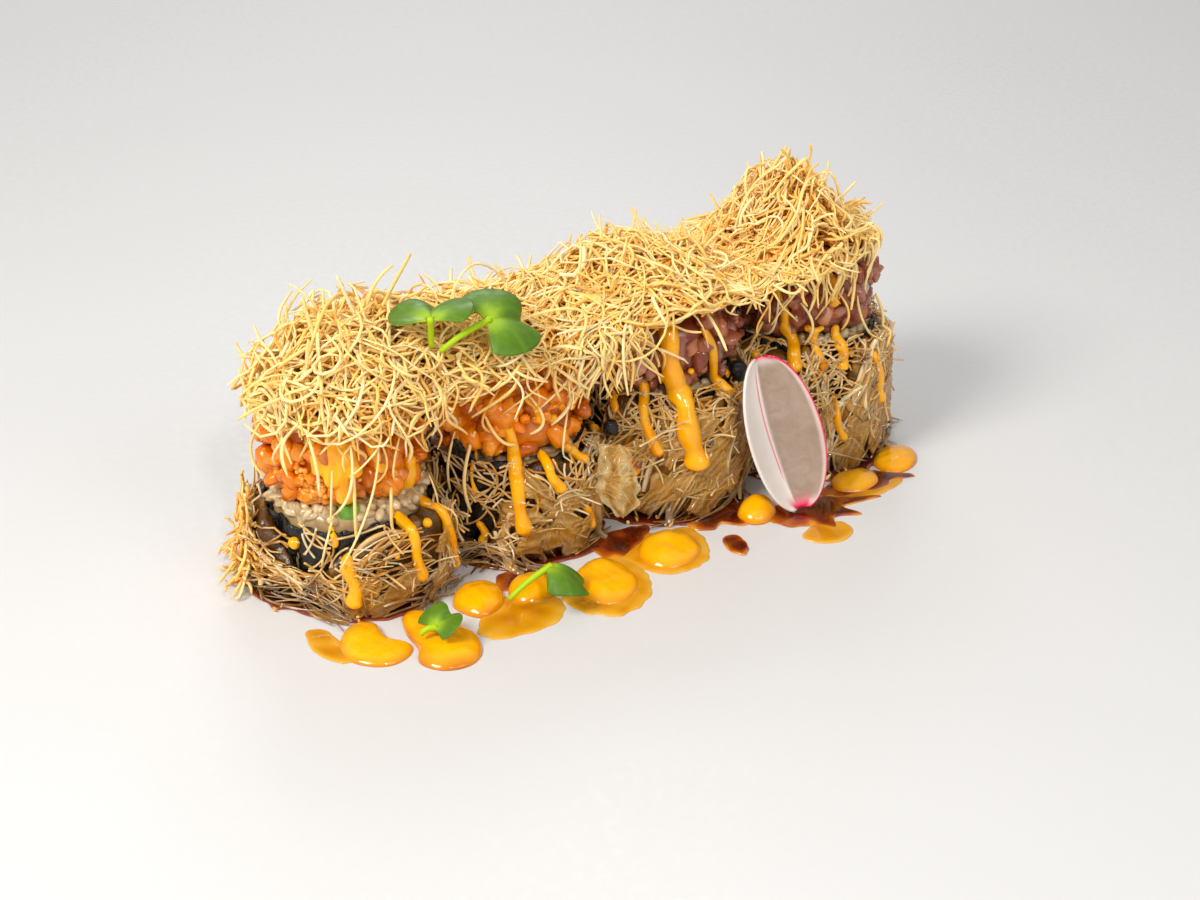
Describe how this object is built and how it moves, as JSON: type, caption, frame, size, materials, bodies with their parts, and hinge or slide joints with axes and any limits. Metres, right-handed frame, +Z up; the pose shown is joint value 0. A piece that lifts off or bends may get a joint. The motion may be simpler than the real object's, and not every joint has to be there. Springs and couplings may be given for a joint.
{
  "type": "sushi roll slices under crisp pastry shreds",
  "caption": "Cut sushi roll standing in a row under a shared heap of crisp pastry shreds, with chopped fish, mayonnaise, sprouts and a radish slice.",
  "frame": {"origin": "middle of the footprint, on the surface the slices stand on", "axes": "+X along the row from the salmon slices to the tuna slices, -Y towards the side with the sauce pools and the radish slice, +Z up"},
  "size_m": [0.1807, 0.0797, 0.0818],
  "materials": {
    "nori": "satin near-black dried seaweed",
    "rice": "moist, slightly translucent",
    "cucumber": "moist green",
    "salmon": "wet translucent orange",
    "tuna": "wet dark purple-brown",
    "coat": "wet translucent olive-gold shreds",
    "crisp": "dry pale gold shreds",
    "mayonnaise": "glossy yellow-orange",
    "leaf": "soft satin green",
    "radish": "moist white with a magenta rim"
  },
  "bodies": {
    "root": {"coat_1": "coat", "coat_2": "coat", "coat_3": "coat", "coat_4": "coat", "crisp_blanket": "crisp", "cucumber_1": "cucumber", "cucumber_2": "cucumber", "mayonnaise_pool_1": "mayonnaise", "mayonnaise_pool_2": "mayonnaise", "mayonnaise_pool_3": "mayonnaise", "mayonnaise_pool_4": "mayonnaise", "mayonnaise_pool_5": "mayonnaise", "mayonnaise_pool_6": "mayonnaise", "mayonnaise_pool_7": "mayonnaise", "mayonnaise_pool_8": "mayonnaise", "mayonnaise_pool_9": "mayonnaise", "nori_band_1": "nori", "nori_band_2": "nori", "nori_band_3": "nori", "nori_band_4": "nori", "radish_slice": "radish", "rice_1": "rice", "rice_2": "rice", "rice_3": "rice", "rice_4": "rice", "salmon_1": "salmon", "salmon_2": "salmon", "sprout_front_left": "leaf", "sprout_front_right": "leaf", "sprout_top_left": "leaf", "sprout_top_right": "leaf", "tuna_3": "tuna", "tuna_4": "tuna"}
  },
  "joints": []
}
